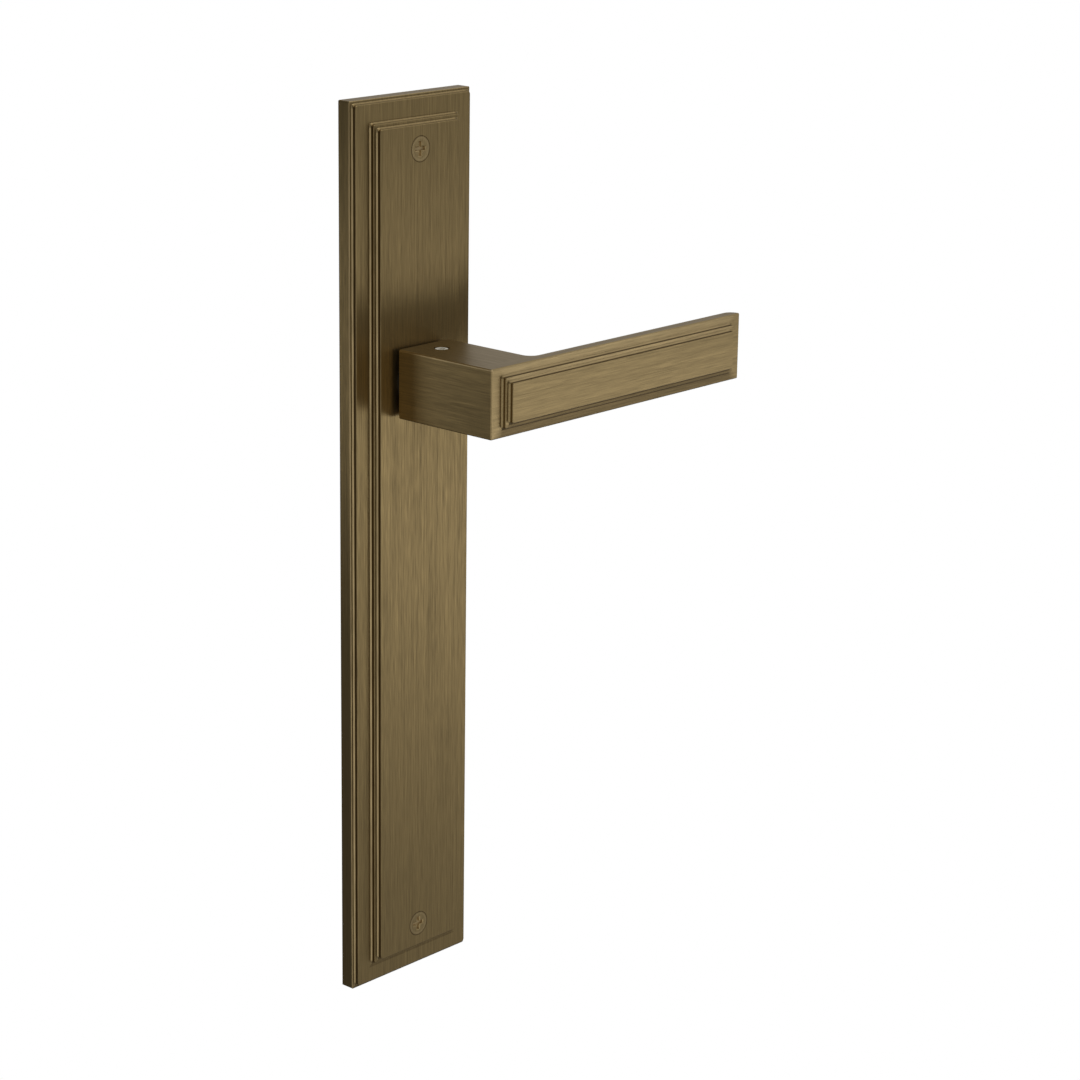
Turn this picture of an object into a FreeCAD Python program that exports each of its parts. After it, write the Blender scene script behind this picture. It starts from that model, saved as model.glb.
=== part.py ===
import FreeCAD, Part
import math
import os
import re
import Sketcher
from FreeCAD import Rotation, Vector

# Sprung lever door handle on a tall stepped backplate, in millimetres.
# X runs along the lever, Y runs into the door and Z is up. The origin is on the lever's
# turning axis, in the plane where the plate meets the door, so the front is at negative Y.

SIZES = [
    # backplate
    ("plate_height", 300.0),
    ("plate_width", 54.5),
    ("axis_below_top", 91.5),
    ("slab_thickness", 4.8),
    ("slab_corner", 0.5),
    ("step_rise", 1.5),
    ("first_step_inset", 1.25),
    ("second_step_inset", 7.7),
    ("third_step_inset", 9.25),
    ("step_corner", 1.0),
    ("splay_width", 0.5),
    ("arris_chamfer", 0.2),
    ("rim_width", 3.0),
    ("rim_depth", 3.9),
    ("deep_hollow_inset", 11.7),
    ("deep_hollow_depth", 6.9),
    ("hollow_corner", 2.0),
    ("rib_thickness", 2.0),
    ("rib_pitch", 38.0),
    ("first_rib_below_axis", 48.0),
    ("upper_rib_above_axis", 48.0),
    # fixing screws through the plate
    ("screw_from_end", 17.0),
    ("screw_head_diameter", 8.3),
    ("screw_shank_diameter", 4.0),
    ("screw_thread_diameter", 3.6),
    ("screw_length", 25.0),
    ("screw_clearance", 0.25),
    ("head_clearance", 0.05),
    ("fixing_boss_diameter", 12.0),
    ("countersink_angle", 90.0),
    ("recess_width", 1.1),
    ("recess_span", 4.4),
    ("recess_depth", 0.9),
    ("recess_splay", 0.3),
    # spring cassette, let into the back of the plate
    ("cassette_radius", 15.5),
    ("cassette_clearance", 0.1),
    ("cassette_depth", 7.0),
    ("tower_wall", 2.9),
    ("cover_recess", 1.2),
    ("cover_thickness", 1.0),
    ("cover_lip", 0.3),
    ("cover_bore_radius", 8.6),
    ("ear_reach", 21.0),
    ("ear_radius", 3.9),
    ("ear_thickness", 1.0),
    ("ear_boss_wall", 0.9),
    ("cover_screw_diameter", 3.0),
    ("cover_screw_head_diameter", 4.8),
    ("cover_screw_length", 5.0),
    ("thread_clearance", 0.05),
    ("housing_floor", 0.8),
    ("housing_wall", 0.8),
    ("stop_bore_radius", 12.0),
    ("stop_clearance", 0.05),
    # bearing bush
    ("bush_flange_radius", 10.5),
    ("bush_flange_thickness", 1.3),
    ("bush_barrel_radius", 9.5),
    ("bush_fit", 0.03),
    ("bush_inner_step", 0.7),
    ("running_clearance", 0.06),
    ("neck_gap", 0.2),
    # lever
    ("neck_width", 22.8),
    ("lever_height", 22.8),
    ("lever_projection", 51.6),
    ("lever_reach", 112.8),
    ("arm_thickness", 4.2),
    ("inner_bend_radius", 3.5),
    ("tip_bend_radius", 3.8),
    ("lever_chamfer", 0.3),
    ("panel_rise", 1.5),
    ("panel_end_inset", 5.0),
    ("panel_side_inset", 3.2),
    ("panel_land", 1.7),
    ("panel_corner", 0.5),
    ("journal_radius", 8.0),
    ("journal_flat", 6.7),
    ("flat_clearance", 0.03),
    ("journal_end_depth", 1.4),
    ("lever_turn", 45.0),
    # spindle and grub screw
    ("spindle_side", 8.0),
    ("spindle_clearance", 0.03),
    ("spindle_chamfer", 0.8),
    ("spindle_in_lever", 20.0),
    ("spindle_behind_door_face", 19.0),
    ("socket_spare_depth", 2.0),
    ("grub_diameter", 5.0),
    ("grub_from_neck_back", 8.2),
    ("grub_below_top", 0.2),
    ("grub_key_width", 2.5),
    ("grub_key_depth", 2.6),
    # cam, ring and spring
    ("cam_front_clearance", 0.1),
    ("cam_disc_thickness", 0.8),
    ("cam_hub_radius", 9.7),
    ("cam_length", 3.7),
    ("cam_arm_half_width", 1.6),
    ("cam_arm_reach", 14.2),
    ("finger_half_width", 0.9),
    ("finger_inner_radius", 12.4),
    ("finger_outer_radius", 13.7),
    ("finger_back_clearance", 0.3),
    ("ring_groove_depth", 0.5),
    ("ring_thickness", 0.8),
    ("ring_band", 1.5),
    ("ring_gap", 5.0),
    ("stack_clearance", 0.05),
    ("spring_wire", 1.0),
    ("spring_mean_radius", 11.0),
    ("spring_coil_gap", 0.45),
    ("spring_bend_radius", 1.5),
    ("spring_leg_end_radius", 14.1),
    ("finger_angle", -45.0),
    ("spring_quarter_turns", 5.0),
]

# Levels and lengths that follow from the sizes. A level is a height above the door face,
# counted towards the person who opens the door.
SLAB = "slab_thickness"
FIRST_STEP = "(slab_thickness + step_rise)"
SECOND_STEP = "(slab_thickness + 2 * step_rise)"
PANEL = "(slab_thickness + 3 * step_rise)"
PLATE_BOTTOM = "(plate_height - axis_below_top)"
NECK_BACK = "(slab_thickness + 3 * step_rise + bush_flange_thickness + neck_gap)"
TOP_SCREW_Z = "(axis_below_top - screw_from_end)"
BOTTOM_SCREW_Z = "(axis_below_top - plate_height + screw_from_end)"
COVER_BACK = "(cover_recess - cover_thickness)"
HOUSING_FLOOR_TOP = "(cassette_depth - housing_floor)"
CAM_FRONT = "(cassette_depth - housing_floor - cam_front_clearance)"
CAM_DISC_BACK = "(cassette_depth - housing_floor - cam_front_clearance - cam_disc_thickness)"
CAM_BACK = "(cassette_depth - housing_floor - cam_front_clearance - cam_length)"
RING_BACK = f"({CAM_BACK} - ring_thickness - stack_clearance)"
PANEL_STEP_TWO_END = "(panel_end_inset + panel_land)"
PANEL_STEP_TWO_SIDE = "(panel_side_inset + panel_land)"
HOUSING_BORE = "(cassette_radius - housing_wall)"

FULL_TURN = 360.0

doc = FreeCAD.newDocument("DoorHandle")
sheet = doc.addObject("Spreadsheet::Sheet", "Sizes")
for row, (alias, number) in enumerate(SIZES, start=1):
    sheet.set(f"A{row}", alias)
    sheet.set(f"B{row}", str(number))
    sheet.setAlias(f"B{row}", alias)
doc.recompute()

ALIASES = re.compile(r"\b(" + "|".join(alias for alias, number in SIZES) + r")\b")


def size(formula):
    """The value of a formula of sizes in the sheet, in millimetres or degrees."""
    return float(sheet.evalExpression(str(formula)))


def bind(item, name, formula):
    """Ties a property of a feature, or a sketch's constraint, to a formula of sizes."""
    item.setExpression(name, ALIASES.sub(r"Sizes.\1", str(formula)))


def new_body(label, origin=("0", "0", "0")):
    """A body with its own label, placed at a point given as three formulas."""
    body = doc.addObject("PartDesign::Body", label.title().replace("_", ""))
    body.Label = label
    for axis, formula in zip("xyz", origin):
        bind(body, f"Placement.Base.{axis}", formula)
    return body


def new_sketch(body, name, role, level="0"):
    """A sketch on one of the body's origin planes, moved out along its normal to a level."""
    plane = next(item for item in body.Origin.OriginFeatures if item.Role == role)
    sketch = body.newObject("Sketcher::SketchObject", name)
    sketch.AttachmentSupport = [(plane, "")]
    sketch.MapMode = "FlatFace"
    bind(sketch, "AttachmentOffset.Base.z", level)
    return sketch


def front_sketch(body, name, level="0"):
    """A sketch seen from the front, at a level above the door face: its X and Y are X and Z."""
    return new_sketch(body, name, "XZ_Plane", level)


def constrain(sketch, kind, places, name, formula):
    """Adds a dimension to a sketch and ties it to a formula."""
    index = sketch.addConstraint(Sketcher.Constraint(kind, *places, size(formula)))
    sketch.renameConstraint(index, name)
    bind(sketch, f"Constraints.{name}", formula)


def add_circle(sketch, radius, x="0", y="0", name="ring"):
    """A circle with its centre and radius tied to formulas."""
    centre = Vector(size(x), size(y), 0)
    index = sketch.addGeometry(Part.Circle(centre, Vector(0, 0, 1), size(radius)), False)
    constrain(sketch, "Radius", (index,), f"{name}_radius", radius)
    constrain(sketch, "DistanceX", (-1, 1, index, 3), f"{name}_across", x)
    constrain(sketch, "DistanceY", (-1, 1, index, 3), f"{name}_up", y)


def add_outline(sketch, points, name="corner"):
    """A closed outline of straight lines whose corners are tied to pairs of formulas."""
    corners = [Vector(size(x), size(y), 0) for x, y in points]
    first = sketch.GeometryCount
    for start, end in zip(corners, corners[1:] + corners[:1]):
        sketch.addGeometry(Part.LineSegment(start, end), False)
    for number, (x, y) in enumerate(points):
        line = first + number
        after = first + (number + 1) % len(points)
        sketch.addConstraint(Sketcher.Constraint("Coincident", line, 2, after, 1))
        constrain(sketch, "DistanceX", (-1, 1, line, 1), f"{name}_{number}_across", x)
        constrain(sketch, "DistanceY", (-1, 1, line, 1), f"{name}_{number}_up", y)


def add_rectangle(sketch, left, right, bottom, top, name="corner"):
    """A rectangle between four formulas."""
    add_outline(sketch, [(left, bottom), (right, bottom), (right, top), (left, top)], name)


def add_rounded_rectangle(sketch, left, right, bottom, top, radius):
    """A rectangle between four formulas, with a quarter circle at each corner."""
    x0, x1, y0, y1, r = (size(formula) for formula in (left, right, bottom, top, radius))
    normal = Vector(0, 0, 1)
    sides = [
        (Vector(x0 + r, y0, 0), Vector(x1 - r, y0, 0)),
        (Vector(x1, y0 + r, 0), Vector(x1, y1 - r, 0)),
        (Vector(x1 - r, y1, 0), Vector(x0 + r, y1, 0)),
        (Vector(x0, y1 - r, 0), Vector(x0, y0 + r, 0)),
    ]
    centres = [(x1 - r, y0 + r), (x1 - r, y1 - r), (x0 + r, y1 - r), (x0 + r, y0 + r)]
    for start, end in sides:
        sketch.addGeometry(Part.LineSegment(start, end), False)
    for quarter, (x, y) in enumerate(centres):
        circle = Part.Circle(Vector(x, y, 0), normal, r)
        start = (quarter - 1) * math.pi / 2
        sketch.addGeometry(Part.ArcOfCircle(circle, start, start + math.pi / 2), False)
    for number in range(4):
        arc = 4 + number
        following = (number + 1) % 4
        sketch.addConstraint(Sketcher.Constraint("Tangent", number, 2, arc, 1))
        sketch.addConstraint(Sketcher.Constraint("Tangent", arc, 2, following, 1))
        level = "Horizontal" if number % 2 == 0 else "Vertical"
        sketch.addConstraint(Sketcher.Constraint(level, number))
    for arc in (5, 6, 7):
        sketch.addConstraint(Sketcher.Constraint("Equal", 4, arc))
    constrain(sketch, "Radius", (4,), "corner_radius", radius)
    constrain(sketch, "DistanceY", (-1, 1, 0, 1), "bottom", bottom)
    constrain(sketch, "DistanceX", (-1, 1, 1, 1), "right", right)
    constrain(sketch, "DistanceY", (-1, 1, 2, 1), "top", top)
    constrain(sketch, "DistanceX", (-1, 1, 3, 1), "left", left)


def add_turned_rectangle(sketch, near, far, half, angle):
    """A rectangle along a ray from the axis, at an angle from the X axis."""
    add_outline(sketch, [
        (f"{along} * cos({angle}) - {aside} * sin({angle})",
         f"{along} * sin({angle}) + {aside} * cos({angle})")
        for along, aside in (
            (near, f"(-{half})"), (far, f"(-{half})"), (far, half), (near, half),
        )
    ])


def add_double_flat(sketch, radius, half_flat):
    """A circle cut by two upright flats, as on the journal and in the bore that fits it."""
    r, half = size(radius), size(half_flat)
    rise = math.sqrt(r * r - half * half)
    angle = math.acos(half / r)
    circle = Part.Circle(Vector(0, 0, 0), Vector(0, 0, 1), r)
    first = sketch.GeometryCount
    sketch.addGeometry(Part.ArcOfCircle(circle, angle, math.pi - angle), False)
    sketch.addGeometry(Part.LineSegment(Vector(-half, rise, 0), Vector(-half, -rise, 0)), False)
    sketch.addGeometry(Part.ArcOfCircle(circle, math.pi + angle, -angle), False)
    sketch.addGeometry(Part.LineSegment(Vector(half, -rise, 0), Vector(half, rise, 0)), False)
    for number in range(4):
        line = first + number
        after = first + (number + 1) % 4
        sketch.addConstraint(Sketcher.Constraint("Coincident", line, 2, after, 1))
    for arc in (first, first + 2):
        sketch.addConstraint(Sketcher.Constraint("Coincident", arc, 3, -1, 1))
    for line in (first + 1, first + 3):
        sketch.addConstraint(Sketcher.Constraint("Vertical", line))
    sketch.addConstraint(Sketcher.Constraint("Equal", first, first + 2))
    constrain(sketch, "Radius", (first,), "round_radius", radius)
    constrain(sketch, "DistanceX", (-1, 1, first + 3, 1), "right_flat", half_flat)
    constrain(sketch, "DistanceX", (first + 1, 1, -1, 1), "left_flat", half_flat)


def checked(feature, grows):
    """Recomputes and makes sure that a feature has added or removed material."""
    doc.recompute()
    before = feature.BaseFeature.Shape.Volume if feature.BaseFeature else 0.0
    change = feature.Shape.Volume - before
    if (change > 0) != grows or abs(change) < 1e-6:
        raise RuntimeError(f"{feature.Name} changed the volume by {change:.6f}")
    return feature


def pad(body, name, sketch, length, backward=False, midplane=False):
    """Grows a sketch along its normal, or against it when backward."""
    feature = body.newObject("PartDesign::Pad", name)
    feature.Profile = sketch
    feature.Reversed = backward
    if midplane:
        feature.SideType = "Symmetric"
    bind(feature, "Length", length)
    return checked(feature, True)


def pocket(body, name, sketch, depth, along_normal=False, midplane=False):
    """Cuts a sketch against its normal, or along it when asked."""
    feature = body.newObject("PartDesign::Pocket", name)
    feature.Profile = sketch
    feature.Reversed = along_normal
    if midplane:
        feature.SideType = "Symmetric"
    bind(feature, "Length", depth)
    return checked(feature, False)


def revolve(body, name, sketch, kind="PartDesign::Revolution"):
    """Turns a sketch on the XY plane a full turn about the Y axis."""
    feature = body.newObject(kind, name)
    feature.Profile = sketch
    feature.ReferenceAxis = (sketch, ["V_Axis"])
    feature.Angle = FULL_TURN
    return checked(feature, kind == "PartDesign::Revolution")


def round_edges(body, name, base, radius, wanted, grows):
    """Rounds the edges of a feature that pass a test: a hollow corner grows by it."""
    edges = base.Shape.Edges
    names = [f"Edge{number}" for number, edge in enumerate(edges, start=1) if wanted(edge)]
    feature = body.newObject("PartDesign::Fillet", name)
    feature.Base = (base, names)
    bind(feature, "Radius", radius)
    return checked(feature, grows)


def splay_edges(body, name, base, width, wanted, grows):
    """Cuts or fills the edges of a feature that pass a test at 45 degrees."""
    edges = base.Shape.Edges
    names = [f"Edge{number}" for number, edge in enumerate(edges, start=1) if wanted(edge)]
    feature = body.newObject("PartDesign::Chamfer", name)
    feature.Base = (base, names)
    bind(feature, "Size", width)
    return checked(feature, grows)


def middle(edge):
    """The point half way along an edge."""
    return edge.valueAt((edge.FirstParameter + edge.LastParameter) / 2)


def at_level(edge, level):
    """True where a whole edge lies in the plane at a level above the door face."""
    box = edge.BoundBox
    return abs(box.YMin + level) < 1e-4 and abs(box.YMax + level) < 1e-4


# Backplate: slab and three steps

STEPS = [
    ("Slab", "0", SLAB, "slab_corner"),
    ("FirstStep", "first_step_inset", FIRST_STEP, "step_corner"),
    ("SecondStep", "second_step_inset", SECOND_STEP, "step_corner"),
    ("ThirdStep", "third_step_inset", PANEL, "step_corner"),
]


def plate_outline(sketch, inset, corner):
    """The plate's outline drawn in by an inset, about the lever's axis."""
    half = f"(plate_width / 2 - {inset})"
    top = f"(axis_below_top - {inset})"
    bottom = f"(-{PLATE_BOTTOM} + {inset})"
    add_rounded_rectangle(sketch, f"-{half}", half, bottom, top, corner)


def on_outline(edge, inset, reach):
    """True where an edge's middle is inside the outline at an inset, but not by more than reach."""
    point = middle(edge)
    side = size("plate_width / 2") - size(inset) - abs(point.x)
    top = size("axis_below_top") - size(inset) - point.z
    bottom = point.z + size(PLATE_BOTTOM) - size(inset)
    return -1e-4 < min(side, top, bottom) < reach


def make_backplate():
    """Cast plate, hollow behind, with the tower for the spring cassette and two fixing bosses."""
    body = new_body("backplate")
    for name, inset, level, corner in STEPS:
        outline = front_sketch(body, f"{name}Outline")
        plate_outline(outline, inset, corner)
        step = pad(body, name, outline, level)

    corner_reach = size("step_corner")
    roots = [(STEPS[k][1], size(STEPS[k - 1][2])) for k in (1, 2, 3)]
    arrises = [(inset, size(level)) for name, inset, level, corner in STEPS]
    splayed = splay_edges(
        body, "Splays", step, "splay_width",
        lambda edge: any(
            at_level(edge, level) and on_outline(edge, inset, corner_reach)
            for inset, level in roots
        ),
        True,
    )
    splay_edges(
        body, "Arrises", splayed, "arris_chamfer",
        lambda edge: any(
            at_level(edge, level) and on_outline(edge, inset, corner_reach / 2)
            for inset, level in arrises
        ),
        False,
    )
    hollows = [
        ("Rim", "rim_width", "rim_depth"),
        ("Deep", "deep_hollow_inset", "deep_hollow_depth"),
    ]
    for name, inset, depth in hollows:
        outline = front_sketch(body, f"{name}HollowOutline")
        plate_outline(outline, inset, "hollow_corner")
        pocket(body, f"{name}Hollow", outline, depth, along_normal=True)

    tower = front_sketch(body, "TowerOutline", "cover_recess")
    add_circle(tower, "cassette_radius + cassette_clearance + tower_wall")
    pad(body, "Tower", tower, "cassette_depth - cover_recess")
    ear_boss_radius = "ear_radius + cassette_clearance + ear_boss_wall"
    for name, side in (("Upper", ""), ("Lower", "-")):
        boss = front_sketch(body, f"{name}EarBossOutline", "cover_recess")
        add_circle(boss, ear_boss_radius, y=f"{side}ear_reach")
        pad(body, f"{name}EarBoss", boss, "deep_hollow_depth - cover_recess")
    for name, height in (("Top", TOP_SCREW_Z), ("Bottom", BOTTOM_SCREW_Z)):
        boss = front_sketch(body, f"{name}FixingBossOutline")
        add_circle(boss, "fixing_boss_diameter / 2", y=height)
        pad(body, f"{name}FixingBoss", boss, "deep_hollow_depth")

    add_ribs(body)
    add_cassette_seat(body)
    add_fixing_holes(body)
    return body


def add_ribs(body):
    """Low cross ribs on the floor of the deep hollow, no higher than its shoulder."""
    half = "(plate_width / 2 - deep_hollow_inset)"
    upper = front_sketch(body, "UpperRibOutline", "rim_depth")
    low = "upper_rib_above_axis"
    add_rectangle(upper, f"-{half}", half, low, f"{low} + rib_thickness")
    pad(body, "UpperRib", upper, "deep_hollow_depth - rim_depth")
    lower = front_sketch(body, "LowerRibOutline", "rim_depth")
    high = "-first_rib_below_axis"
    add_rectangle(lower, f"-{half}", half, f"{high} - rib_thickness", high)
    rib = pad(body, "LowerRib", lower, "deep_hollow_depth - rim_depth")
    run = size(PLATE_BOTTOM) - size("first_rib_below_axis + screw_from_end + fixing_boss_diameter")
    count = max(2, int(run / size("rib_pitch")) + 1)
    ribs = body.newObject("PartDesign::LinearPattern", "LowerRibs")
    ribs.Originals = [rib]
    ribs.Direction = (lower, ["V_Axis"])
    ribs.Reversed = True
    ribs.Occurrences = count
    bind(ribs, "Length", f"rib_pitch * {count - 1}")
    body.Tip = ribs
    checked(ribs, True)


def add_cassette_seat(body):
    """Round seat and ear slots for the spring housing, screw holes and the bush's bore."""
    seat = front_sketch(body, "CassetteSeatOutline")
    add_circle(seat, "cassette_radius + cassette_clearance")
    pocket(body, "CassetteSeat", seat, "cassette_depth", along_normal=True)
    slot = front_sketch(body, "EarSlotOutline")
    half = "(ear_radius + cassette_clearance)"
    add_rectangle(slot, f"-{half}", half, "-ear_reach", "ear_reach")
    pocket(body, "EarSlot", slot, "cover_recess + ear_thickness", along_normal=True)
    for name, side in (("Upper", ""), ("Lower", "-")):
        end = front_sketch(body, f"{name}EarSeatOutline")
        add_circle(end, half, y=f"{side}ear_reach")
        pocket(body, f"{name}EarSeat", end, "cover_recess + ear_thickness", along_normal=True)
        hole = front_sketch(body, f"{name}CoverScrewHoleOutline")
        radius = "cover_screw_diameter / 2 + thread_clearance"
        add_circle(hole, radius, y=f"{side}ear_reach")
        depth = f"{COVER_BACK} + cover_screw_length + stack_clearance"
        pocket(body, f"{name}CoverScrewHole", hole, depth, along_normal=True)
    bore = front_sketch(body, "BushBoreOutline")
    add_circle(bore, "bush_barrel_radius")
    pocket(body, "BushBore", bore, PANEL, along_normal=True)


def add_fixing_holes(body):
    """Countersunk holes for the two fixing screws, made from the front of the panel."""
    places = front_sketch(body, "FixingHolePlaces", PANEL)
    radius = "screw_shank_diameter / 2 + screw_clearance"
    add_circle(places, radius, y=TOP_SCREW_Z, name="top")
    add_circle(places, radius, y=BOTTOM_SCREW_Z, name="bottom")
    hole = body.newObject("PartDesign::Hole", "FixingHoles")
    hole.Profile = places
    doc.recompute()
    hole.ThreadType = "None"
    hole.DepthType = "ThroughAll"
    hole.HoleCutType = "Countersink"
    hole.HoleCutCustomValues = True
    bind(hole, "Diameter", f"2 * ({radius})")
    bind(hole, "HoleCutDiameter", "screw_head_diameter + 2 * head_clearance")
    bind(hole, "HoleCutCountersinkAngle", "countersink_angle")
    checked(hole, False)


# Bearing bush

def make_bearing_bush():
    """Nylon bush with a front flange that keeps the neck off the plate."""
    body = new_body("bearing_bush")
    level = f"({PANEL} + bush_flange_thickness)"
    inner = "journal_radius + running_clearance"
    flange = front_sketch(body, "FlangeOutline", level)
    add_circle(flange, "bush_flange_radius", name="outer")
    add_circle(flange, inner, name="inner")
    pad(body, "Flange", flange, "bush_flange_thickness", backward=True)
    barrel = front_sketch(body, "BarrelOutline", PANEL)
    add_circle(barrel, "bush_barrel_radius - bush_fit", name="outer")
    add_circle(barrel, inner, name="inner")
    reach = f"{PANEL} - cassette_depth + bush_inner_step"
    pad(body, "Barrel", barrel, reach, backward=True)
    return body


# Lever

def make_lever():
    """One casting: journal, square neck, flat arm and a raised panel in two steps."""
    body = new_body("lever")
    plan = new_sketch(body, "Plan", "XY_Plane")
    half = "neck_width / 2"
    back = f"-{NECK_BACK}"
    front = "-lever_projection"
    arm_back = "(arm_thickness - lever_projection)"
    add_outline(plan, [
        (f"-{half}", back),
        (f"-{half}", front),
        ("lever_reach", front),
        ("lever_reach", arm_back),
        (half, arm_back),
        (half, back),
    ])
    block = pad(body, "NeckAndArm", plan, "lever_height", midplane=True)

    def upright(edge, x, y):
        point = middle(edge)
        straight = edge.BoundBox.ZLength > size("lever_height") - 1e-4
        return straight and abs(point.x - size(x)) < 1e-4 and abs(point.y - size(y)) < 1e-4

    bend = round_edges(
        body, "InnerBend", block, "inner_bend_radius",
        lambda edge: upright(edge, half, arm_back), True,
    )
    tip = round_edges(
        body, "TipBend", bend, "tip_bend_radius",
        lambda edge: upright(edge, "lever_reach", arm_back), False,
    )
    rim = size("lever_height / 2")
    sharp = [(f"-{half}", back), (f"-{half}", front), ("lever_reach", front), (half, back)]
    splay_edges(
        body, "LeverArrises", tip, "lever_chamfer",
        lambda edge: abs(abs(middle(edge).z) - rim) < 1e-4
        or any(upright(edge, x, y) for x, y in sharp),
        False,
    )

    steps = [
        ("LowerPanel", "panel_end_inset", "panel_side_inset", "panel_rise"),
        ("UpperPanel", PANEL_STEP_TWO_END, PANEL_STEP_TWO_SIDE, "2 * panel_rise"),
    ]
    for name, end, side, rise in steps:
        outline = front_sketch(body, f"{name}Outline", "lever_projection")
        up = f"(lever_height / 2 - {side})"
        left = f"-({half} - {end})"
        add_rounded_rectangle(outline, left, f"lever_reach - {end}", f"-{up}", up, "panel_corner")
        panel = pad(body, name, outline, rise)

    reach = size("panel_corner")

    def on_panel(edge, end, side, near):
        point = middle(edge)
        from_end = min(point.x + size(half), size("lever_reach") - point.x) - size(end)
        from_side = size("lever_height / 2") - abs(point.z) - size(side)
        return -1e-4 < min(from_end, from_side) < near

    levels = [size("lever_projection"), size("lever_projection + panel_rise")]
    splayed = splay_edges(
        body, "PanelSplays", panel, "splay_width",
        lambda edge: any(
            at_level(edge, level) and on_panel(edge, end, side, reach)
            for level, (name, end, side, rise) in zip(levels, steps)
        ),
        True,
    )
    tops = [size(f"lever_projection + {rise}") for name, end, side, rise in steps]
    splay_edges(
        body, "PanelArrises", splayed, "arris_chamfer",
        lambda edge: any(
            at_level(edge, level) and on_panel(edge, end, side, reach / 2)
            for level, (name, end, side, rise) in zip(tops, steps)
        ),
        False,
    )
    add_journal(body)
    return body


def add_journal(body):
    """Round journal behind the neck, with flats for the cam, ring groove and square socket."""
    outline = front_sketch(body, "JournalOutline", NECK_BACK)
    add_circle(outline, "journal_radius")
    pad(body, "Journal", outline, f"{NECK_BACK} - journal_end_depth", backward=True)
    flats = front_sketch(body, "JournalFlatsOutline", "journal_end_depth")
    add_circle(flats, "journal_radius + running_clearance", name="outer")
    add_double_flat(flats, "journal_radius - stack_clearance", "journal_flat")
    depth = f"{CAM_FRONT} + stack_clearance - journal_end_depth"
    pocket(body, "JournalFlats", flats, depth, along_normal=True)
    groove = new_sketch(body, "RingGrooveProfile", "XY_Plane")
    near = f"-({RING_BACK} + ring_thickness + stack_clearance)"
    far = f"-({RING_BACK} - stack_clearance)"
    inner = "journal_radius - ring_groove_depth"
    add_rectangle(groove, inner, "journal_radius + ring_groove_depth", near, far)
    revolve(body, "RingGroove", groove, "PartDesign::Groove")
    socket = front_sketch(body, "SocketOutline", "journal_end_depth")
    half = "(spindle_side / 2 + spindle_clearance)"
    add_rectangle(socket, f"-{half}", half, f"-{half}", half)
    depth = f"{NECK_BACK} + spindle_in_lever + socket_spare_depth - journal_end_depth"
    pocket(body, "Socket", socket, depth, along_normal=True)
    place = new_sketch(body, "GrubHolePlace", "XY_Plane", "lever_height / 2")
    radius = "grub_diameter / 2 + thread_clearance"
    add_circle(place, radius, y=f"-{NECK_BACK} - grub_from_neck_back")
    hole = body.newObject("PartDesign::Hole", "GrubHole")
    hole.Profile = place
    doc.recompute()
    hole.ThreadType = "None"
    hole.DepthType = "Dimension"
    hole.DrillPoint = "Flat"
    bind(hole, "Diameter", f"2 * ({radius})")
    bind(hole, "Depth", "lever_height / 2 - spindle_side / 2")
    checked(hole, False)


# Spindle and grub screw

def make_spindle():
    """Square bar, chamfered at both ends, that turns with the lever."""
    body = new_body("spindle")
    outline = front_sketch(body, "BarOutline", f"{NECK_BACK} + spindle_in_lever")
    half = "spindle_side / 2"
    add_rectangle(outline, f"-{half}", half, f"-{half}", half)
    length = f"{NECK_BACK} + spindle_in_lever + spindle_behind_door_face"
    bar = pad(body, "Bar", outline, length, backward=True)
    ends = [size(f"{NECK_BACK} + spindle_in_lever"), -size("spindle_behind_door_face")]
    numbered = enumerate(bar.Shape.Edges, start=1)
    chamfer = body.newObject("PartDesign::Chamfer", "EndChamfers")
    chamfer.Base = (
        bar,
        [f"Edge{n}" for n, edge in numbered if any(at_level(edge, end) for end in ends)],
    )
    bind(chamfer, "Size", "spindle_chamfer")
    checked(chamfer, False)
    return body


def make_set_screw():
    """Hexagon socket grub screw, down on the spindle. It is drawn about its own axis."""
    place = ("0", f"-{NECK_BACK} - grub_from_neck_back", "spindle_side / 2")
    body = new_body("set_screw", place)
    length = "lever_height / 2 - grub_below_top - spindle_side / 2"
    outline = new_sketch(body, "ScrewOutline", "XY_Plane")
    add_circle(outline, "grub_diameter / 2")
    screw = pad(body, "Screw", outline, length)
    top = size(length)
    numbered = enumerate(screw.Shape.Edges, start=1)
    chamfer = body.newObject("PartDesign::Chamfer", "ScrewChamfer")
    chamfer.Base = (
        screw,
        [f"Edge{n}" for n, edge in numbered if abs(edge.BoundBox.ZMin - top) < 1e-4],
    )
    bind(chamfer, "Size", "grub_diameter / 12")
    checked(chamfer, False)
    key = new_sketch(body, "KeyOutline", "XY_Plane", length)
    across_corners = "grub_key_width / 2 / cos(30)"
    add_outline(key, [
        (f"{across_corners} * cos({corner * 60})", f"{across_corners} * sin({corner * 60})")
        for corner in range(6)
    ])
    pocket(body, "Key", key, "grub_key_depth")
    return body


# Countersunk screws

def make_turned_screw(label, origin, profile):
    """A screw turned about its own Y axis, from the radius and depth of each profile corner."""
    body = new_body(label, origin)
    sketch = new_sketch(body, "ScrewProfile", "XY_Plane")
    add_outline(sketch, profile)
    revolve(body, "ScrewSolid", sketch)
    return body


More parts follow.
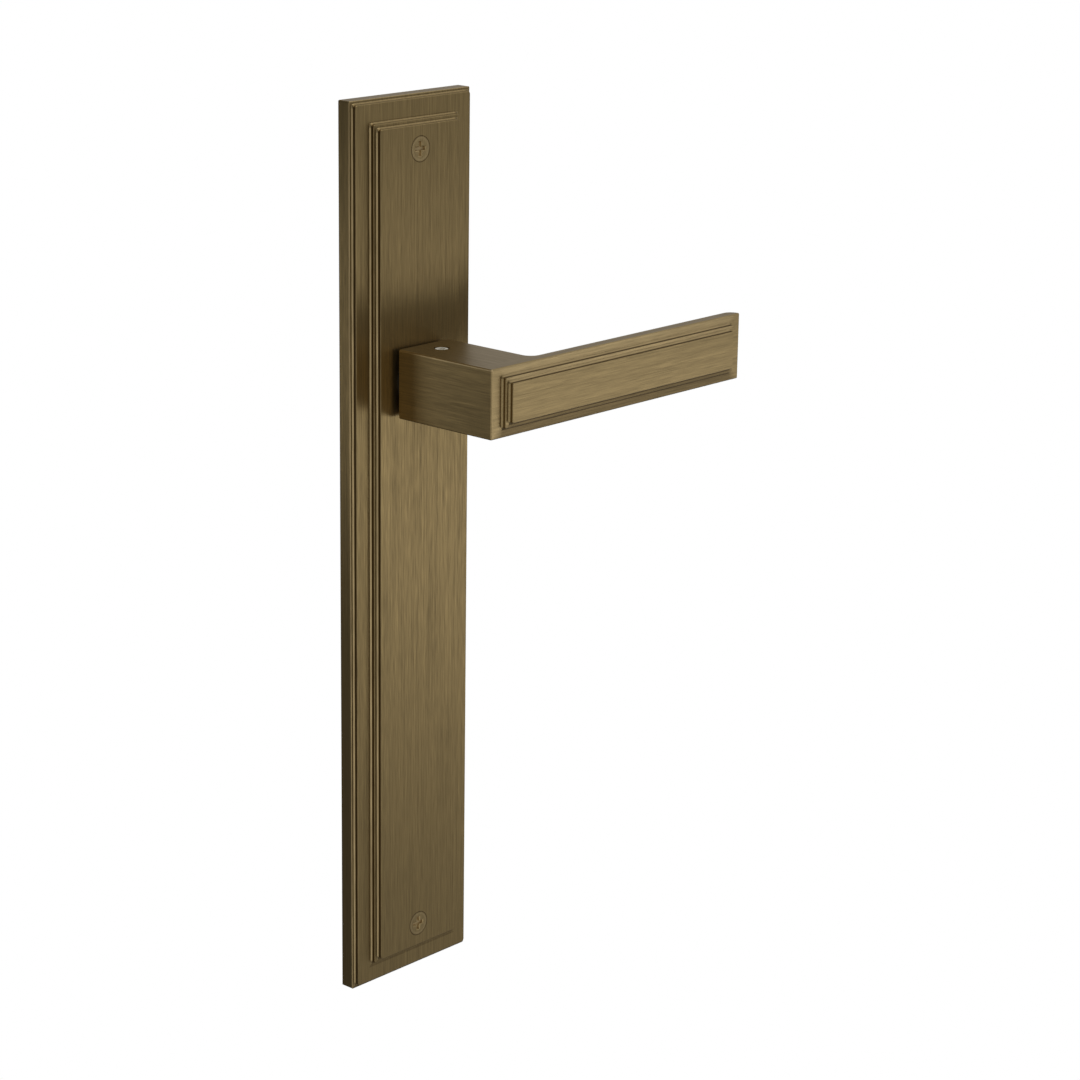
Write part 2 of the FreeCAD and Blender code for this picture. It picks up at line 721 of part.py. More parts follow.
def make_fixing_screw(label, height):
    """Machine screw with a cross recess, flush in the panel, for a nut bolt through the door.

    Its thread starts at the door face, and is drawn as a plain cylinder of its mean diameter.
    """
    neck = "(screw_head_diameter - screw_shank_diameter) / 2 / tan(countersink_angle / 2)"
    body = make_turned_screw(label, ("0", f"-{PANEL}", height), [
        ("0", "0"),
        ("screw_head_diameter / 2", "0"),
        ("screw_shank_diameter / 2", neck),
        ("screw_shank_diameter / 2", PANEL),
        ("screw_thread_diameter / 2", PANEL),
        ("screw_thread_diameter / 2", "screw_length"),
        ("0", "screw_length"),
    ])
    for name, across, up in (("Level", "span", "width"), ("Upright", "width", "span")):
        slot = front_sketch(body, f"{name}SlotOutline")
        x, y = f"recess_{across} / 2", f"recess_{up} / 2"
        add_rectangle(slot, f"-{x}", x, f"-{y}", y)
        cross = pocket(body, f"{name}Slot", slot, "recess_depth")
    splay_edges(
        body, "RecessSplays", cross, "recess_splay",
        lambda edge: at_level(edge, 0) and len(edge.Vertexes) > 1,
        False,
    )
    return body


def make_cover_screws():
    """The two machine screws that clamp cover and housing to the plate, in one compound."""
    neck = "(cover_screw_head_diameter - cover_screw_diameter) / 2 / tan(countersink_angle / 2)"
    made = []
    for name, side in (("upper", ""), ("lower", "-")):
        place = ("0", f"-{COVER_BACK}", f"{side}ear_reach")
        screw = make_turned_screw(f"{name}_cover_screw", place, [
            ("0", "0"),
            ("0", "-cover_screw_length"),
            ("cover_screw_diameter / 2", "-cover_screw_length"),
            ("cover_screw_diameter / 2", f"-{neck}"),
            ("cover_screw_head_diameter / 2", "0"),
        ])
        slot = front_sketch(screw, "SlotOutline")
        half = "cover_screw_head_diameter / 2"
        wide = "cover_screw_diameter / 8"
        add_rectangle(slot, f"-{half}", half, f"-{wide}", wide)
        pocket(screw, "DriverSlot", slot, "cover_thickness / 2", along_normal=True)
        made.append(screw)
    group = doc.addObject("Part::Compound", "CoverScrews")
    group.Label = "cover_screws"
    group.Links = made
    doc.recompute()
    return group


# Spring cassette

def make_spring_housing():
    """Moulded cup with two ears. Its thick lower ring has the windows that stop the cam."""
    body = new_body("spring_housing")
    floor = front_sketch(body, "CupOutline", "cassette_depth")
    add_circle(floor, "cassette_radius")
    pad(body, "Cup", floor, "cassette_depth - cover_recess", backward=True)
    half = "ear_radius"
    ears = front_sketch(body, "EarBarOutline", "cover_recess")
    add_rectangle(ears, f"-{half}", half, "-ear_reach", "ear_reach")
    pad(body, "EarBar", ears, "ear_thickness")
    for name, side in (("Upper", ""), ("Lower", "-")):
        ear = front_sketch(body, f"{name}EarOutline", "cover_recess")
        add_circle(ear, half, y=f"{side}ear_reach")
        pad(body, f"{name}Ear", ear, "ear_thickness")
        hole = front_sketch(body, f"{name}EarHoleOutline", "cover_recess")
        add_circle(hole, "cover_screw_diameter / 2 + thread_clearance", y=f"{side}ear_reach")
        pocket(body, f"{name}EarHole", hole, "ear_thickness", along_normal=True)
    bore = front_sketch(body, "SpringRoomOutline", "cover_recess")
    add_circle(bore, HOUSING_BORE)
    pocket(body, "SpringRoom", bore, f"{CAM_DISC_BACK} - cover_recess", along_normal=True)
    disc = front_sketch(body, "CamRoomOutline", CAM_DISC_BACK)
    add_circle(disc, "stop_bore_radius")
    room = f"{HOUSING_FLOOR_TOP} - {CAM_DISC_BACK}"
    pocket(body, "CamRoom", disc, room, along_normal=True)

    window = front_sketch(body, "StopWindowOutline", CAM_DISC_BACK)
    add_outline(window, stop_window_corners())
    cut = pocket(body, "StopWindow", window, room, along_normal=True)
    windows = body.newObject("PartDesign::PolarPattern", "StopWindows")
    windows.Originals = [cut]
    windows.Axis = (window, ["N_Axis"])
    windows.Angle = FULL_TURN
    windows.Occurrences = 2
    body.Tip = windows
    checked(windows, False)
    hole = front_sketch(body, "BushHoleOutline", "cassette_depth")
    add_circle(hole, "bush_barrel_radius + bush_fit")
    pocket(body, "BushHole", hole, "housing_floor")
    add_spring_post(body)
    return body


def stop_window_corners():
    """Corners of the window in which a cam arm swings, from its rest place to its end place.

    Each end is parallel to the arm's side there. The two outer points between them keep the
    window's far side beyond the arm's tip all the way round.
    """
    half = "(cam_arm_half_width + stop_clearance)"
    inner = "(stop_bore_radius - cam_arm_half_width)"
    outer = f"({HOUSING_BORE} - stop_clearance)"
    rest = "finger_angle"
    last = "(finger_angle - lever_turn)"

    def point(angle, along, aside):
        x = f"{along} * cos({angle}) - {aside} * sin({angle})"
        y = f"{along} * sin({angle}) + {aside} * cos({angle})"
        return x, y

    fan = [f"(finger_angle - lever_turn * {share})" for share in (0.25, 0.5, 0.75)]
    return [
        point(rest, inner, half),
        point(rest, f"sqrt({outer} ^ 2 - {half} ^ 2)", half),
        *[point(angle, outer, "0") for angle in [rest, *fan, last]],
        point(last, f"sqrt({outer} ^ 2 - {half} ^ 2)", f"(-{half})"),
        point(last, inner, f"(-{half})"),
    ]


def spring_post_angle():
    """The spring ends where the cam's finger rests, and starts at the post."""
    return "(finger_angle + spring_quarter_turns * 90)"


def add_spring_post(body):
    """Upright post on the housing's wall, which holds the spring's fixed leg."""
    outer = f"({HOUSING_BORE} + housing_wall / 2)"
    post = front_sketch(body, "SpringPostOutline", "cover_recess + finger_back_clearance")
    half = "finger_half_width"
    add_turned_rectangle(post, "finger_inner_radius", outer, half, spring_post_angle())
    height = f"{CAM_DISC_BACK} - cover_recess - finger_back_clearance"
    pad(body, "SpringPost", post, height)


def make_driver_cam():
    """Hub with two arms that meet the stops, and a finger on one arm that winds the spring."""
    body = new_body("driver_cam")
    turned = "finger_angle"
    hub = front_sketch(body, "HubOutline", CAM_FRONT)
    add_circle(hub, "cam_hub_radius")
    pad(body, "Hub", hub, "cam_length", backward=True)
    arms = front_sketch(body, "ArmsOutline", CAM_FRONT)
    half, reach = "cam_arm_half_width", "cam_arm_reach"
    add_turned_rectangle(arms, f"(-{reach})", reach, half, turned)
    pad(body, "Arms", arms, "cam_disc_thickness", backward=True)
    finger = front_sketch(body, "FingerOutline", CAM_FRONT)
    inner, outer = "finger_inner_radius", "finger_outer_radius"
    add_turned_rectangle(finger, inner, outer, "finger_half_width", turned)
    height = f"{CAM_FRONT} - cover_recess - finger_back_clearance"
    pad(body, "Finger", finger, height, backward=True)
    bore = front_sketch(body, "CamBoreOutline", CAM_BACK)
    radius = "journal_radius + running_clearance"
    add_double_flat(bore, radius, "journal_flat + flat_clearance")
    pocket(body, "CamBore", bore, "cam_length", along_normal=True)
    return body


def make_retaining_ring():
    """Open snap ring in the journal's groove, which keeps the cam and the lever in place."""
    body = new_body("retaining_ring")
    level = f"{RING_BACK} + ring_thickness"
    inner = "journal_radius - ring_groove_depth + thread_clearance"
    band = front_sketch(body, "BandOutline", level)
    add_circle(band, f"{inner} + ring_band", name="outer")
    add_circle(band, inner, name="inner")
    pad(body, "Band", band, "ring_thickness", backward=True)
    opening = front_sketch(body, "OpeningOutline", level)
    half = "ring_gap / 2"
    add_rectangle(opening, f"-{half}", half, "0", "cam_hub_radius")
    pocket(body, "Opening", opening, "ring_thickness")
    return body


def make_cassette_cover():
    """Flat steel cover with two ears, screwed down over the housing."""
    body = new_body("cassette_cover")
    outline = front_sketch(body, "CoverOutline", COVER_BACK)
    add_circle(outline, "cassette_radius + cassette_clearance + tower_wall - cover_lip")
    pad(body, "Cover", outline, "cover_thickness")
    bar = front_sketch(body, "CoverBarOutline", COVER_BACK)
    add_rectangle(bar, "-ear_radius", "ear_radius", "-ear_reach", "ear_reach")
    pad(body, "CoverBar", bar, "cover_thickness")
    for name, side in (("Upper", ""), ("Lower", "-")):
        ear = front_sketch(body, f"{name}CoverEarOutline", COVER_BACK)
        add_circle(ear, "ear_radius", y=f"{side}ear_reach")
        pad(body, f"{name}CoverEar", ear, "cover_thickness")
    bore = front_sketch(body, "CoverBoreOutline", COVER_BACK)
    add_circle(bore, "cover_bore_radius")
    pocket(body, "CoverBore", bore, "cover_thickness", along_normal=True)
    places = front_sketch(body, "CoverHolePlaces", COVER_BACK)
    radius = "cover_screw_diameter / 2 + thread_clearance"
    add_circle(places, radius, y="ear_reach", name="upper")
    add_circle(places, radius, y="-ear_reach", name="lower")
    hole = body.newObject("PartDesign::Hole", "CoverHoles")
    hole.Profile = places
    doc.recompute()
    hole.Reversed = True
    hole.ThreadType = "None"
    hole.DepthType = "ThroughAll"
    hole.HoleCutType = "Countersink"
    hole.HoleCutCustomValues = True
    bind(hole, "Diameter", f"2 * ({radius})")
    bind(hole, "HoleCutDiameter", "cover_screw_head_diameter + 2 * thread_clearance")
    bind(hole, "HoleCutCountersinkAngle", "countersink_angle")
    checked(hole, False)
    return body


# Return spring: one unbroken square wire with two legs that stand out from the coil

def biarc(start, start_way, end, end_way):
    """Two tangent arcs from one point and direction to another, with equal tangent lengths."""
    chord = end - start
    a = 2 * (start_way.dot(end_way) - 1)
    b = -2 * chord.dot(start_way + end_way)
    c = chord.dot(chord)
    reach = -c / b if abs(a) < 1e-12 else (-b - math.sqrt(b * b - 4 * a * c)) / (2 * a)
    first = start + start_way * reach
    second = end - end_way * reach
    joint = (first + second) * 0.5
    return [arc_edge(start, first, joint), arc_edge(joint, second, end)]


def arc_edge(start, corner, end):
    """The arc from start to end whose tangents meet at the corner."""
    towards, away = corner - start, end - corner
    half_turn = towards.getAngle(away) / 2
    weight = math.cos(half_turn)
    through = (start + end + corner * (2 * weight)) * (1 / (2 + 2 * weight))
    return Part.Arc(start, through, end).toShape()


def spring_path():
    """Edges of the wire's centre line, from the fixed leg's end to the moving leg's end.

    Seen from the front the coil runs clockwise, at a mean radius R, and comes forward by one
    pitch for each turn. Each quarter turn is a biarc between points
    (R cos a, -level, R sin a) of the helix. A leg is a bend of a quarter circle and a straight.
    """
    radius = size("spring_mean_radius")
    pitch = size("spring_wire + spring_coil_gap")
    quarters = round(size("spring_quarter_turns"))
    start_angle = math.radians(size(spring_post_angle()))
    back_level = size("cover_recess + spring_wire / 2 + stack_clearance")
    bend = size("spring_bend_radius")
    leg_end = size("spring_leg_end_radius")

    def outward(angle):
        return Vector(math.cos(angle), 0, math.sin(angle))

    def onward(angle):
        return Vector(math.sin(angle), 0, -math.cos(angle))

    def helix_point(quarter):
        angle = start_angle - quarter * math.pi / 2
        return outward(angle) * radius - Vector(0, back_level + pitch * quarter / 4, 0)

    def helix_way(quarter):
        angle = start_angle - quarter * math.pi / 2
        climb = Vector(0, -pitch / (2 * math.pi * radius), 0)
        return (onward(angle) + climb).normalize()

    def leg(quarter, side):
        angle = start_angle - quarter * math.pi / 2
        point, way = helix_point(quarter), helix_way(quarter) * side
        corner = point + way * bend
        turned = corner + outward(angle) * bend
        tip = turned + outward(angle) * (leg_end - radius - bend)
        return point, corner, turned, tip

    coil = []
    for quarter in range(quarters):
        coil += biarc(
            helix_point(quarter), helix_way(quarter),
            helix_point(quarter + 1), helix_way(quarter + 1),
        )
    point, corner, turned, tip = leg(0, -1)
    fixed_leg = [Part.LineSegment(tip, turned).toShape(), arc_edge(turned, corner, point)]
    point, corner, turned, tip = leg(quarters, 1)
    moving_leg = [arc_edge(point, corner, turned), Part.LineSegment(turned, tip).toShape()]
    return fixed_leg + coil + moving_leg


def least_gap(edges, wire, apart):
    """The least space between stretches of the wire that are some way apart along it."""
    points, lengths, run = [], [], 0.0
    for edge in edges:
        count = max(6, int(edge.Length / 0.4))
        for point in edge.discretize(count):
            if points:
                run += (point - points[-1]).Length
            points.append(point)
            lengths.append(run)
    least = math.inf
    for first, (here, at) in enumerate(zip(points, lengths)):
        for there, beyond in zip(points[first:], lengths[first:]):
            if beyond - at > apart:
                least = min(least, (there - here).Length)
    return least - wire


def make_return_spring():
    """Torsion spring that brings the lever back, swept along its centre line."""
    edges = spring_path()
    wire = Part.Wire(edges)
    half = size("spring_wire / 2")
    tip = edges[0].valueAt(edges[0].FirstParameter)
    along_axis = Vector(0, half, 0)
    aside = edges[0].tangentAt(edges[0].FirstParameter).cross(along_axis)
    corners = [tip + along_axis * a + aside * b for a, b in ((1, 1), (-1, 1), (-1, -1), (1, -1))]
    section = Part.makePolygon(corners + corners[:1])
    solid = wire.makePipeShell([section], True, False)
    if solid.ShapeType != "Solid":
        solid = Part.Solid(solid.Shells[0])
    expected = (2 * half) ** 2 * wire.Length
    print(f"return_spring: volume {solid.Volume:.2f}, section times length {expected:.2f}")
    gap = least_gap(edges, size("spring_wire"), 4 * size("spring_wire"))
    print(f"return_spring: least gap to itself {gap:.3f} mm")
    feature = doc.addObject("Part::Feature", "ReturnSpring")
    feature.Label = "return_spring"
    feature.Shape = solid
    feature.Placement = FreeCAD.Placement(Vector(0, 0, 0), Rotation())
    return feature


def make_all():
    """Every sub-part, in the order from the door outwards."""
    return [
        make_backplate(),
        make_fixing_screw("top_screw", TOP_SCREW_Z),
        make_fixing_screw("bottom_screw", BOTTOM_SCREW_Z),
        make_bearing_bush(),
        make_spring_housing(),
        make_return_spring(),
        make_cassette_cover(),
        make_cover_screws(),
        make_lever(),
        make_driver_cam(),
        make_retaining_ring(),
        make_spindle(),
        make_set_screw(),
    ]


subparts = make_all()
doc.recompute()
for item in doc.Objects:
    faults = [state for state in item.State if state in ("Invalid", "Error")]
    if faults:
        raise RuntimeError(f"{item.Name} is {faults[0]}")
for item in subparts:
    if item.Shape.isNull() or not item.Shape.isValid():
        raise RuntimeError(f"{item.Label} has no valid shape")

os.makedirs("parts", exist_ok=True)
for item in subparts:
    item.Shape.exportStep(f"parts/{item.Label}.step")
    print(f"{item.Label}: {len(item.Shape.Solids)} solid, {item.Shape.Volume:.1f} mm3")
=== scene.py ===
# %% [markdown]
# # A sprung lever handle on a tall stepped backplate
#
# The real object is a cast plate, 300 mm tall, with a rectangular lever that turns in it.
# Both are brushed and then chemically darkened to an antique bronze. The shapes come
# ready made as solids, so this lesson is about their finish: the grain of the brushing,
# the darker patina and painted shade in the corners, the rubbed edges and painted
# highlights, and the light.
#
# X runs along the lever, Y runs into the door and Z is up. The origin is on the lever's
# axis, at the face of the door. Every length is in metres.

# %% Load the imported model
import math
from functools import reduce

import bpy
import numpy as np
from mathutils import Matrix, Vector


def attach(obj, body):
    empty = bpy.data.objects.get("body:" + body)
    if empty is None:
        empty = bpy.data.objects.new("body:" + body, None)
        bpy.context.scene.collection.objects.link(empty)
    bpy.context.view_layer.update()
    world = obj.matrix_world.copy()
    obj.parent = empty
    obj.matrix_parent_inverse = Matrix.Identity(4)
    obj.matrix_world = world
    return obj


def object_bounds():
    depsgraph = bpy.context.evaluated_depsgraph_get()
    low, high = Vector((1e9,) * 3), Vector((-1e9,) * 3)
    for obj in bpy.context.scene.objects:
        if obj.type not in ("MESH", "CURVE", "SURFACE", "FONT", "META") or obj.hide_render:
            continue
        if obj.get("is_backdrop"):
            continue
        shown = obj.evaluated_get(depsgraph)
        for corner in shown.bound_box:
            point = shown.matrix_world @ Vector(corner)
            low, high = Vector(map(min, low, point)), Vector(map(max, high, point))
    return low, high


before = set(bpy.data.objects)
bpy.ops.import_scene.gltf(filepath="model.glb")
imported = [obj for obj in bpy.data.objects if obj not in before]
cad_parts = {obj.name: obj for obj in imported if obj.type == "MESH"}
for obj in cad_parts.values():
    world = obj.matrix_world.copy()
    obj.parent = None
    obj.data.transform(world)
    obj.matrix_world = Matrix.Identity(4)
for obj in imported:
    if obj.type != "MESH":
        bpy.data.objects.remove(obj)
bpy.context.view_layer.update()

MM = 0.001


def plain_box():
    """The lowest and highest corner of everything shown, as plain lists of numbers."""
    return [[float(number) for number in corner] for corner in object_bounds()]


print("nodes:", sorted(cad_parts))

# %% [markdown]
# ## The camera
#
# The photograph was taken from the left, a little above, with a long lens. Its place was
# found by matching edges of the solids with the same edges in the picture. Blender could
# aim a camera with a Track To constraint, but a matrix built from three directions says
# exactly where it stands and which way is up, and nothing in it can drift.

# %% Camera at the photograph's place
LENS_MM, SENSOR_MM = 98.0, 36.0
CAMERA_PLACE = Vector((-666.67, -659.66, 216.13)) * MM
CAMERA_TURN = math.radians(-48.154)
CAMERA_DOWN = math.radians(16.199)
CAMERA_ROLL = math.radians(0.854)
FARTHEST_SEEN = 100.0


def camera_axes(turn, down, roll):
    """Right, up and backward directions of a camera that looks along +Y before it turns.

    It turns about Z, then tips down about its own right, then rolls about its line of sight.
    """
    level_right = Vector((math.cos(turn), math.sin(turn), 0))
    level_ahead = Vector((-math.sin(turn), math.cos(turn), 0))
    straight_up = Vector((0, 0, 1))
    ahead = level_ahead * math.cos(down) - straight_up * math.sin(down)
    up = straight_up * math.cos(down) + level_ahead * math.sin(down)
    right = level_right * math.cos(roll) + up * math.sin(roll)
    up = up * math.cos(roll) - level_right * math.sin(roll)
    return right, up, -ahead


def camera_at(place, axes, lens):
    """A camera object at a place, with the three axes as the columns of its matrix."""
    data = bpy.data.cameras.new("camera")
    data.lens = lens
    data.sensor_width = SENSOR_MM
    data.clip_end = FARTHEST_SEEN
    made = bpy.data.objects.new("camera", data)
    made.matrix_world = Matrix.Translation(place) @ Matrix(axes).transposed().to_4x4()
    bpy.context.scene.collection.objects.link(made)
    return made


axes = camera_axes(CAMERA_TURN, CAMERA_DOWN, CAMERA_ROLL)
bpy.context.scene.camera = camera_at(CAMERA_PLACE, axes, LENS_MM)
print("camera", round(CAMERA_PLACE.length, 3), "m from the origin")

# %% [markdown]
# ## Shader arithmetic that reads like arithmetic
#
# A finish is a small sum: so much streak, so much patina, more where an edge is near. In
# the node editor each plus sign is a Math node and two links. A class that wraps one
# socket and overloads the operators keeps the sum on one line, and adds those nodes.

# %% Wires and benches
MIX_FACTOR, MIX_FIRST, MIX_SECOND, MIX_COLOUR = 0, 6, 7, 2


class Wire:
    """One output socket. Arithmetic on it adds Math nodes to its bench."""

    def __init__(self, bench, socket):
        self.bench = bench
        self.socket = socket

    def math(self, operation, *values):
        """One Math node with its values or links in order."""
        return self.bench.add("ShaderNodeMath", {"operation": operation}, dict(enumerate(values)))

    def __add__(self, other):
        return self.math("ADD", self, other)

    def __sub__(self, other):
        return self.math("SUBTRACT", self, other)

    def __rsub__(self, other):
        return self.math("SUBTRACT", other, self)

    def __mul__(self, other):
        return self.math("MULTIPLY", self, other)

    def __truediv__(self, other):
        return self.math("DIVIDE", self, other)

    def __rtruediv__(self, other):
        return self.math("DIVIDE", other, self)

    def __abs__(self):
        return self.math("ABSOLUTE", self)

    __radd__ = __add__
    __rmul__ = __mul__

    def least(self, other):
        """The smaller of two."""
        return self.math("MINIMUM", self, other)

    def most(self, other):
        """The larger of two."""
        return self.math("MAXIMUM", self, other)

    def held(self):
        """The value kept between 0 and 1."""
        return self.most(0.0).least(1.0)

    def above(self, edge, blur):
        """0 below an edge and 1 above it, with a straight ramp as wide as the blur between."""
        return ((self - (edge - blur / 2)) / blur).held()

    def below(self, edge, blur):
        """1 below an edge and 0 above it."""
        return 1.0 - self.above(edge, blur)

    def within(self, start, end, blur):
        """1 from start to end and 0 outside."""
        return self.above(start, blur) * self.below(end, blur)

    def near(self, place, band):
        """1 on a band, which gives its start and its end past the place, and its blur."""
        start, end, blur = band
        return self.within(place + start, place + end, blur)

    def between(self, first, second):
        """The first number where the wire is 0, the second where it is 1."""
        return first + self * (second - first)


def most_of(wires):
    """The largest of several wires."""
    return reduce(Wire.most, wires)


class Bench:
    """A node tree, emptied, and the one way to put a node on it."""

    def __init__(self, tree):
        self.tree = tree
        tree.nodes.clear()

    def add(self, kind, settings=None, values=None, output=0):
        """Adds a node of a kind: its settings first, then its sockets' values or links."""
        node = self.tree.nodes.new(kind)
        for name, setting in (settings or {}).items():
            setattr(node, name, setting)
        for name, value in (values or {}).items():
            if isinstance(value, Wire):
                self.tree.links.new(value.socket, node.inputs[name])
            else:
                node.inputs[name].default_value = value
        return Wire(self, node.outputs[output] if node.outputs else None)

    def split(self, vector):
        """The three numbers of a vector."""
        made = self.add("ShaderNodeSeparateXYZ", values={0: vector})
        return [Wire(self, socket) for socket in made.socket.node.outputs]

    def place(self):
        """Where a surface point is on the object, in metres."""
        return self.add("ShaderNodeTexCoord", output="Object")

    def reach(self, first, second):
        """How far a point is from an axis, from its two offsets across that axis."""
        offsets = self.add("ShaderNodeCombineXYZ", values={0: first, 1: second})
        return self.add("ShaderNodeVectorMath", {"operation": "LENGTH"}, {0: offsets}, output="Value")

    def cloud(self, vector, scale, detail=2.0, rough=0.5):
        """Noise from 0 to 1 whose lumps are one over the scale across.

        The scale is one number, or three where the lumps are drawn out in a direction.
        """
        scale = scale if isinstance(scale, tuple) else (scale, scale, scale)
        stretched = self.add("ShaderNodeMapping", values={"Vector": vector, "Scale": scale})
        values = {"Vector": stretched, "Scale": 1.0, "Detail": detail, "Roughness": rough}
        return self.add("ShaderNodeTexNoise", values=values)

    def blend(self, factor, first, second):
        """A colour that goes from the first to the second as a factor goes from 0 to 1."""
        values = {MIX_FACTOR: factor, MIX_FIRST: first, MIX_SECOND: second}
        return self.add("ShaderNodeMix", {"data_type": "RGBA"}, values, output=MIX_COLOUR)

    def scaled(self, colour, amount):
        """A colour made brighter or darker by a number or a wire."""
        plain = colour if isinstance(colour, Wire) else colour[:3]
        return self.add("ShaderNodeVectorMath", {"operation": "SCALE"}, {0: plain, "Scale": amount})

    def bump(self, height, depth):
        """A normal tilted by a height, where 1 stands a depth in metres proud."""
        values = {"Strength": 1.0, "Distance": depth, "Height": height}
        return self.add("ShaderNodeBump", values=values)


def finish(name, build, shader="ShaderNodeBsdfPrincipled"):
    """A material whose one shader node gets what build returns, socket by socket."""
    material = bpy.data.materials.new(name)
    material.use_nodes = True
    bench = Bench(material.node_tree)
    surface = bench.add(shader, values=build(bench))
    bench.add("ShaderNodeOutputMaterial", values={"Surface": surface})
    print("finish", name, "has", len(material.node_tree.nodes), "nodes")
    return material


def dress(name, material):
    """Puts a material in every slot of one node of the model."""
    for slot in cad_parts[name].material_slots:
        slot.material = material


def srgb(red, green, blue):
    """A screen colour of 0 to 255 as the linear numbers that a shader adds and multiplies."""
    parts = np.array([red, green, blue]) / 255
    linear = np.where(parts <= 0.04045, parts / 12.92, ((parts + 0.055) / 1.055) ** 2.4)
    return (*(float(part) for part in linear), 1.0)


# %% [markdown]
# ## Floor, backdrop and light
#
# The handle is shown against pure white and casts no shadow on it. So the pale floor and
# the backdrop are seen by the camera only. Bare metal shows little but what it reflects,
# so each lamp stands where some of the faces mirror it for the photograph's camera:
#
# - the right front lamp in the fronts of plate and lever
# - the right back lamp in the tops, and the right high lamp in the splays that face up
# - the left front lamp in the splays that face left
# - the small left back lamp in the neck's left side and the plate's left edge
#
# The overhead lamp and a soft surround, which is dimmer behind on the left, fill in the
# rest. A picture of a studio wrapped round the scene would also work, but then nobody
# could say why an edge is bright.

# %% Floor and backdrop
WHITE = (1.0, 1.0, 1.0, 1.0)
FLOOR_HEIGHT = -0.60
STAGE_RADIUS = 6.0
RIM_POINTS = 64
DOME_ROWS, DOME_COLUMNS = 24, 48
DOME_FOOT, DOME_TOP = -0.2, math.pi / 2 - 0.001


def glow(name):
    """A white surface that shines evenly, so that it looks the same from everywhere."""
    return finish(name, lambda bench: {"Color": WHITE, "Strength": 1.0}, "ShaderNodeEmission")


def mesh_object(name, points, faces, material):
    """A mesh object from arrays of points and faces, at the origin and unturned."""
    mesh = bpy.data.meshes.new(name)
    mesh.from_pydata(np.asarray(points, float).tolist(), [], np.asarray(faces).tolist())
    mesh.update()
    mesh.materials.append(material)
    made = bpy.data.objects.new(name, mesh)
    bpy.context.scene.collection.objects.link(made)
    return made


def grid_faces(rows, columns):
    """Four-cornered faces between neighbours of a grid of points whose rows close into rings."""
    row, column = np.meshgrid(np.arange(rows - 1), np.arange(columns), indexing="ij")
    here = (row * columns + column).ravel()
    beside = (row * columns + (column + 1) % columns).ravel()
    return np.stack([here, beside, beside + columns, here + columns], axis=1)


def turns_round(count):
    """So many equal steps of angle once round, in radians."""
    return np.linspace(0, 2 * math.pi, count, endpoint=False)


def dome_points(radius):
    """A dome: radius times (cos h cos a, cos h sin a, sin h) for angles of height h and turns a."""
    height = np.linspace(DOME_FOOT, DOME_TOP, DOME_ROWS)[:, None]
    turn = turns_round(DOME_COLUMNS)[None, :]
    flat = np.cos(height)
    points = np.stack([flat * np.cos(turn), flat * np.sin(turn), np.sin(height) + 0 * turn], axis=2)
    return radius * points.reshape(-1, 3)


def camera_only(made):
    """Keeps an object out of reflections, shadows and bounced light."""
    made.visible_diffuse = False
    made.visible_glossy = False
    made.visible_transmission = False
    made.visible_volume_scatter = False
    made.visible_shadow = False


turns = turns_round(RIM_POINTS)
rim = STAGE_RADIUS * np.stack([np.cos(turns), np.sin(turns), 0 * turns], axis=1)
floor = mesh_object("floor", rim + [0, 0, FLOOR_HEIGHT], [np.arange(RIM_POINTS)], glow("pale_floor"))
dome_faces = grid_faces(DOME_ROWS, DOME_COLUMNS)
backdrop = mesh_object("backdrop", dome_points(STAGE_RADIUS), dome_faces, glow("pale_backdrop"))
for piece in (floor, backdrop):
    camera_only(piece)
    piece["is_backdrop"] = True
bpy.context.scene.view_settings.view_transform = "Standard"
print("floor", -FLOOR_HEIGHT, "m below the lever's axis, backdrop", STAGE_RADIUS, "m away")

# %% Soft surround
SURROUND = 0.27
DIM_SIDE = Vector((-0.75, 0.62, -0.15)).normalized()
DIM_DEPTH = 0.18
DIM_EDGE, DIM_BLUR = 0.25, 1.3


def toward(ways, direction):
    """How far a direction of sight points the same way as a fixed one, from -1 to 1."""
    return ways[0] * direction.x + ways[1] * direction.y + ways[2] * direction.z


world = bpy.data.worlds.new("surround")
bpy.context.scene.world = world
world.use_nodes = True
sky = Bench(world.node_tree)
ways = sky.split(sky.add("ShaderNodeTexCoord", output="Generated"))
level = SURROUND - toward(ways, DIM_SIDE).above(DIM_EDGE, DIM_BLUR) * DIM_DEPTH
light = sky.add("ShaderNodeBackground", values={"Color": WHITE, "Strength": level})
sky.add("ShaderNodeOutputWorld", values={"Surface": light})
print("surround", SURROUND, "and up to", DIM_DEPTH, "dimmer behind on the left")

# %% Soft lamps
LAMP_AIM = Vector((0.02, -0.02, -0.05))
LAMPS = [  # name, place, width and height, watts
    ("right_front_lamp", (0.620, -0.590, -0.268), (0.45, 0.22), 0.325),
    ("right_back_lamp", (1.0, 1.1, 0.6), (1.2, 1.2), 0.75),
    ("right_high_lamp", (0.97, -0.28, 0.97), (0.8, 0.8), 0.75),
    ("left_front_lamp", (-0.9, -1.0, -0.50), (0.9, 0.9), 1.3),
    ("left_back_lamp", (-0.265, 0.242, -0.060), (0.12, 0.12), 0.030),
    ("overhead_lamp", (0.1, -0.2, 1.8), (1.2, 1.2), 11.0),
]


def soft_lamp(name, place, size, power):
    """A lamp of a width and height, facing the handle, that the camera can't see."""
    data = bpy.data.lights.new(name, "AREA")
    data.shape = "RECTANGLE"
    data.size, data.size_y = size
    data.energy = power
    made = bpy.data.objects.new(name, data)
    facing = (LAMP_AIM - Vector(place)).to_track_quat("-Z", "Y")
    made.matrix_world = Matrix.Translation(place) @ facing.to_matrix().to_4x4()
    made.visible_camera = False
    bpy.context.scene.collection.objects.link(made)


for name, place, size, power in LAMPS:
    soft_lamp(name, place, size, power)
print(len(LAMPS), "soft lamps")
